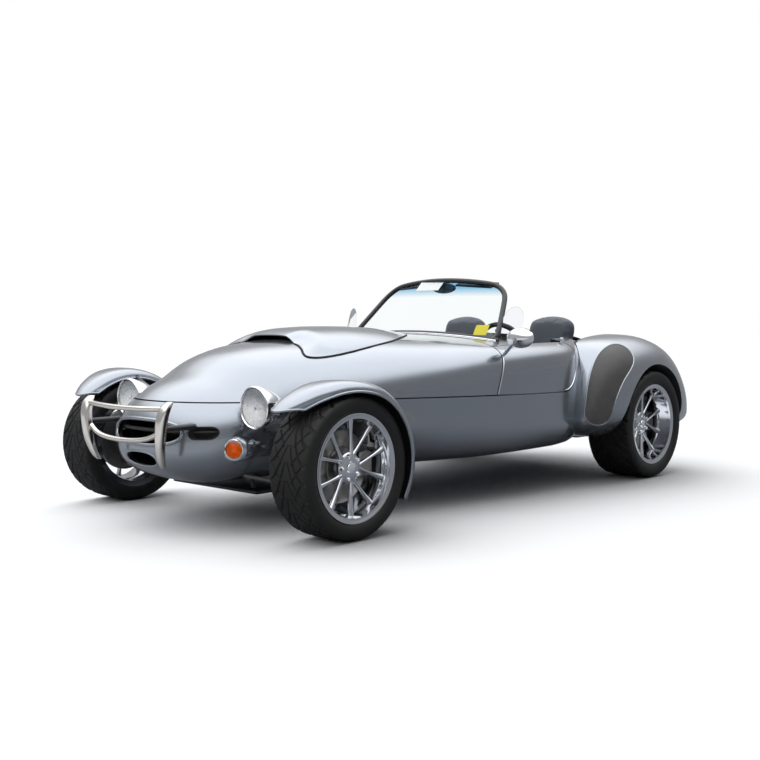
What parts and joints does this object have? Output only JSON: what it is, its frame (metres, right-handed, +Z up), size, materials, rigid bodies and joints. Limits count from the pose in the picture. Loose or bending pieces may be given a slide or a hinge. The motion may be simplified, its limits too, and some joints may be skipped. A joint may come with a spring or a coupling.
{
  "type": "roadster",
  "caption": "Open two-seat roadster with separate front wings, a long front-hinged hood, low doors, a raked windscreen and wide rear wings.",
  "frame": {"origin": "on the ground, under the middle of the overall length and width", "axes": "+Z up, -Y towards the nose, +X towards the car's left side"},
  "size_m": [1.9708, 3.97, 1.2028],
  "materials": {
    "paint": "gloss metallic",
    "chrome": "polished",
    "nickel": "polished",
    "steel": "satin",
    "black": "satin",
    "tyre": "matt",
    "glass": "clear",
    "leather": "soft",
    "carpet": "matt",
    "amber": "clear amber",
    "red": "clear red",
    "engine": "cast"
  },
  "bodies": {
    "chassis": {"lower_body": "paint", "cockpit_tub": "carpet", "rear_fender_left": "paint", "rear_fender_right": "paint", "front_fender_left": "paint", "front_fender_right": "paint", "windscreen_frame": "black", "windscreen_glass": "glass", "front_suspension_left": "steel", "front_suspension_right": "steel", "rear_suspension_left": "steel", "rear_suspension_right": "steel", "steering_gear": "steel", "engine": "engine", "headlamp_left": "chrome", "headlamp_right": "chrome", "indicator_left": "amber", "indicator_right": "amber", "tail_lamp_left": "red", "tail_lamp_right": "red", "front_bumper": "nickel", "rear_bumper": "nickel", "exhaust": "steel", "dashboard": "black", "seat_left": "leather", "seat_right": "leather"},
    "hood_body": {"hood": "paint", "hood_scoop": "paint"},
    "boot_body": {"boot_lid": "paint"},
    "door_body_left": {"door_left": "paint", "mirror_left": "chrome"},
    "door_body_right": {"door_right": "paint", "mirror_right": "chrome"},
    "upright_left": {"knuckle_left": "steel"},
    "upright_right": {"knuckle_right": "steel"},
    "rack": {"tie_rod": "steel"},
    "steering_wheel_body": {"steering_wheel": "black"},
    "wheel_front_left": {"front_tyre_left": "tyre", "front_wheel_left": "chrome"},
    "wheel_front_right": {"front_tyre_right": "tyre", "front_wheel_right": "chrome"},
    "wheel_rear_left": {"rear_tyre_left": "tyre", "rear_wheel_left": "chrome"},
    "wheel_rear_right": {"rear_tyre_right": "tyre", "rear_wheel_right": "chrome"}
  },
  "joints": [
    {"name": "steer_left", "type": "hinge", "parent": "chassis", "child": "upright_left", "pos_m": [0.785, -1.387, 0.3266], "axis": [0, 0, 1], "range_deg": [-26, 26]},
    {"name": "steer_right", "type": "hinge", "parent": "chassis", "child": "upright_right", "pos_m": [-0.785, -1.387, 0.3266], "axis": [0, 0, 1], "range_deg": [-26, 26]},
    {"name": "rack_slide", "type": "slide", "parent": "chassis", "child": "rack", "axis": [1, 0, 0], "range_m": [-0.055, 0.055]},
    {"name": "steering_wheel_turn", "type": "hinge", "parent": "chassis", "child": "steering_wheel_body", "pos_m": [0.362, 0.5, 0.79], "axis": [0, 0.9272, 0.3746], "range_deg": [-340, 340]},
    {"name": "spin_front_left", "type": "hinge", "parent": "upright_left", "child": "wheel_front_left", "pos_m": [0.84, -1.387, 0.3266], "axis": [1, 0, 0], "continuous": true},
    {"name": "spin_front_right", "type": "hinge", "parent": "upright_right", "child": "wheel_front_right", "pos_m": [-0.84, -1.387, 0.3266], "axis": [1, 0, 0], "continuous": true},
    {"name": "spin_rear_left", "type": "hinge", "parent": "chassis", "child": "wheel_rear_left", "pos_m": [0.8085, 1.267, 0.3319], "axis": [1, 0, 0], "continuous": true},
    {"name": "spin_rear_right", "type": "hinge", "parent": "chassis", "child": "wheel_rear_right", "pos_m": [-0.8085, 1.267, 0.3319], "axis": [1, 0, 0], "continuous": true},
    {"name": "hood_hinge", "type": "hinge", "parent": "chassis", "child": "hood_body", "pos_m": [0, -1.9, 0.585], "axis": [1, 0, 0], "range_deg": [0, 60]},
    {"name": "boot_hinge", "type": "hinge", "parent": "chassis", "child": "boot_body", "pos_m": [0, 1.22, 0.8723], "axis": [1, 0, 0], "range_deg": [0, 60]},
    {"name": "door_hinge_left", "type": "hinge", "parent": "chassis", "child": "door_body_left", "pos_m": [0.792, -0.125, 0.575], "axis": [0, 0, -1], "range_deg": [0, 65]},
    {"name": "door_hinge_right", "type": "hinge", "parent": "chassis", "child": "door_body_right", "pos_m": [-0.792, -0.125, 0.575], "axis": [0, 0, 1], "range_deg": [0, 65]}
  ],
  "couplings": [
    {"joint": "steer_right", "follows": "steer_left", "ratio": 1},
    {"joint": "rack_slide", "follows": "steer_left", "m_per_rad": -0.116},
    {"joint": "steering_wheel_turn", "follows": "steer_left", "ratio": 13}
  ]
}
